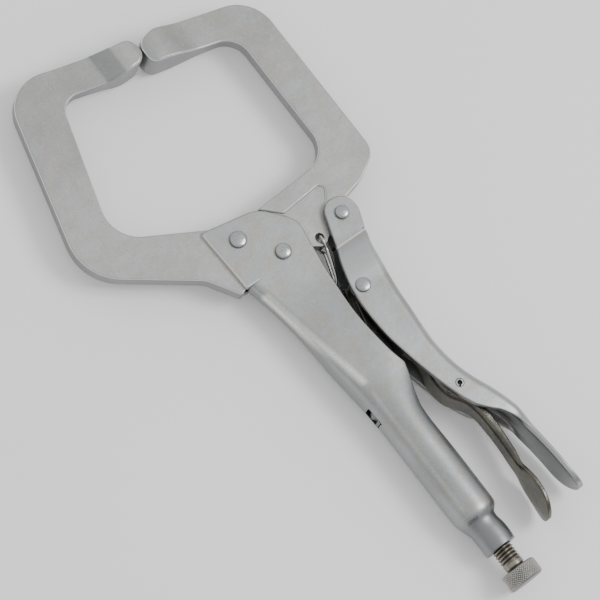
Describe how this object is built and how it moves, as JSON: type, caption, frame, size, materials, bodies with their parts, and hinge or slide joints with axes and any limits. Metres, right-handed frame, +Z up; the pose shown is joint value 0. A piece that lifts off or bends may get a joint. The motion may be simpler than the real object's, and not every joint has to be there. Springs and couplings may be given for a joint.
{
  "type": "locking pliers",
  "caption": "C-clamp locking pliers with wide forged jaws and rounded tips, sheet-steel handles, a toggle link, a release lever and a knurled adjusting screw.",
  "frame": {"origin": "middle of the bottom of the bounding box, with the pliers closed and lying on one side", "axes": "+X along the adjusting screw from the jaws to its knob, +Y towards the lever handle, +Z up through the side of the pliers"},
  "size_m": [0.2774, 0.1266, 0.022],
  "materials": {
    "plated_sheet": "satin zinc plating",
    "plated_forging": "satin zinc plating over a forged skin",
    "rivet_steel": "bright satin",
    "dark_steel": "darker, slightly brown satin",
    "screw_steel": "dull machined steel",
    "spring_steel": "drawn wire"
  },
  "bodies": {
    "frame": {"fixed_handle": "plated_sheet", "fixed_jaw": "plated_forging", "fixed_jaw_rivet": "rivet_steel", "main_pivot_rivet": "rivet_steel", "jaw_spring": "spring_steel"},
    "jaw": {"movable_jaw": "plated_forging"},
    "lever": {"lever_handle": "plated_sheet", "lever_pivot_rivet": "rivet_steel", "link_pivot_rivet": "rivet_steel", "release_pin": "rivet_steel"},
    "link": {"toggle_link": "dark_steel"},
    "release": {"release_lever": "dark_steel"},
    "screw": {"adjusting_screw": "screw_steel"},
    "knob": {"screw_knob": "screw_steel"}
  },
  "joints": [
    {"name": "jaw_pivot", "type": "hinge", "parent": "frame", "child": "jaw", "pos_m": [-0.02326, 0.00571, 0.01102], "axis": [0, 0, -1], "range_deg": [0, 20], "deforming": ["jaw_spring"]},
    {"name": "lever_pivot", "type": "hinge", "parent": "jaw", "child": "lever", "pos_m": [-0.02276, 0.03521, 0.01102], "axis": [0, 0, 1], "range_deg": [0, 68.4]},
    {"name": "link_pivot", "type": "hinge", "parent": "lever", "child": "link", "pos_m": [0.00644, 0.02231, 0.01102], "axis": [0, 0, -1], "range_deg": [0, 72.7]},
    {"name": "release_pivot", "type": "hinge", "parent": "lever", "child": "release", "pos_m": [0.06024, 0.02931, 0.01102], "axis": [0, 0, 1], "range_deg": [0, 6]},
    {"name": "screw_travel", "type": "slide", "parent": "frame", "child": "screw", "axis": [1, 0, 0], "range_m": [0, 0.024]},
    {"name": "knob_spin", "type": "hinge", "parent": "screw", "child": "knob", "pos_m": [0.13174, 0.00411, 0.01102], "axis": [1, 0, 0], "range_deg": [0, 5761]}
  ],
  "couplings": [
    {"joint": "lever_pivot", "follows": "jaw_pivot", "ratio": 3.417},
    {"joint": "link_pivot", "follows": "jaw_pivot", "ratio": 3.629},
    {"joint": "knob_spin", "follows": "screw_travel", "rad_per_m": 4188.8}
  ]
}
